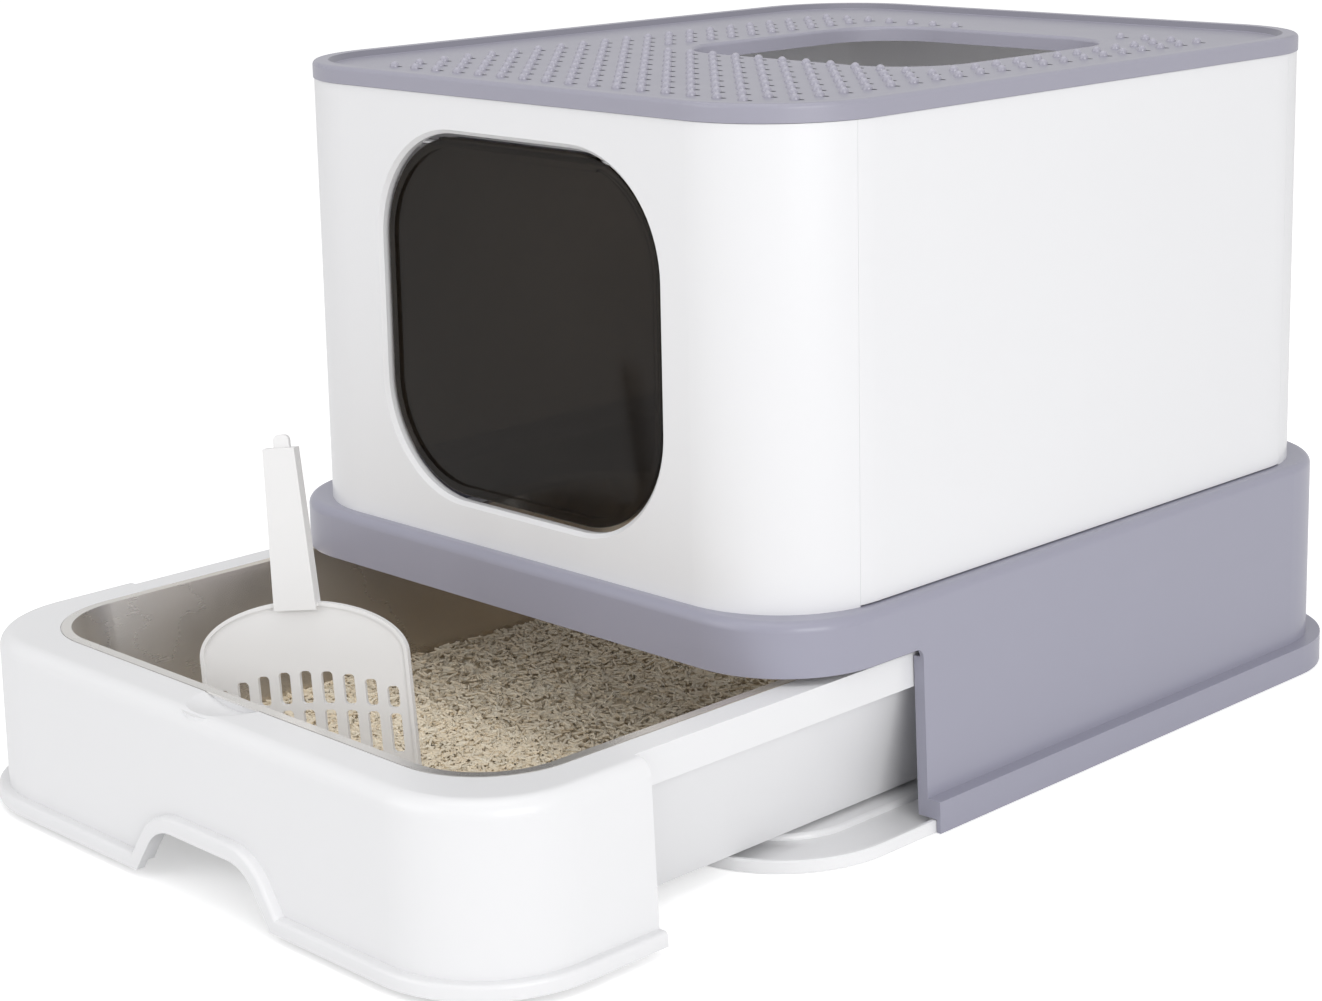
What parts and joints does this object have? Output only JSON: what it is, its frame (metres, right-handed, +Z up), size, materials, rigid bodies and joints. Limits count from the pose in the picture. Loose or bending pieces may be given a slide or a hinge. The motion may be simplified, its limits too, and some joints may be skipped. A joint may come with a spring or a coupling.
{
  "type": "drawer litter box",
  "caption": "Enclosed cat litter box with panelled sides, a smoked swing flap, a stepping lid with a top opening, and a pull-out drawer holding a steel pan and a slotted scoop.",
  "frame": {"origin": "on the floor under the middle of the enclosure, on the underside of the floor tray", "axes": "+Z up; -Y out of the front, where the flap and the drawer are; +X to the right of someone who faces the front"},
  "size_m": [0.433, 0.7095, 0.378],
  "materials": {
    "white_panel": "satin",
    "grey_base": "satin",
    "grey_lid": "matte",
    "nylon_white": "matte",
    "smoked_flap": "polished",
    "screw_steel": "brushed",
    "pan_steel": "brushed",
    "litter": "matte"
  },
  "bodies": {
    "housing": {"floor_tray": "white_panel", "base_shell": "grey_base", "base_screws": "screw_steel", "left_runner": "nylon_white", "right_runner": "nylon_white", "front_panel": "white_panel", "rear_panel": "white_panel", "left_panel": "white_panel", "right_panel": "white_panel", "front_left_clips": "nylon_white", "front_right_clips": "nylon_white", "rear_left_clips": "nylon_white", "rear_right_clips": "nylon_white"},
    "drawer": {"drawer_tub": "white_panel", "litter_pan": "pan_steel", "litter_bed": "litter"},
    "flap": {"entry_flap": "smoked_flap", "flap_pin": "screw_steel"},
    "lid": {"lid_frame": "grey_lid"},
    "scoop": {"scoop": "white_panel"}
  },
  "joints": [
    {"name": "drawer_slide", "type": "slide", "parent": "housing", "child": "drawer", "axis": [0, -1, 0], "range_m": [-0.194, 0]},
    {"name": "flap_swing", "type": "hinge", "parent": "housing", "child": "flap", "pos_m": [0.005, -0.2325, 0.3415], "axis": [1, 0, 0], "range_deg": [-25, 85]},
    {"name": "lid_lift", "type": "slide", "parent": "housing", "child": "lid", "axis": [0, 0, 1], "range_m": [0, 0.15]},
    {"name": "scoop_lift", "type": "slide", "parent": "housing", "child": "scoop", "axis": [0, 0, 1], "range_m": [0, 0.545]}
  ],
  "couplings": [
    {"joint": "scoop_lift", "follows": "drawer_slide", "ratio": -2.8}
  ]
}
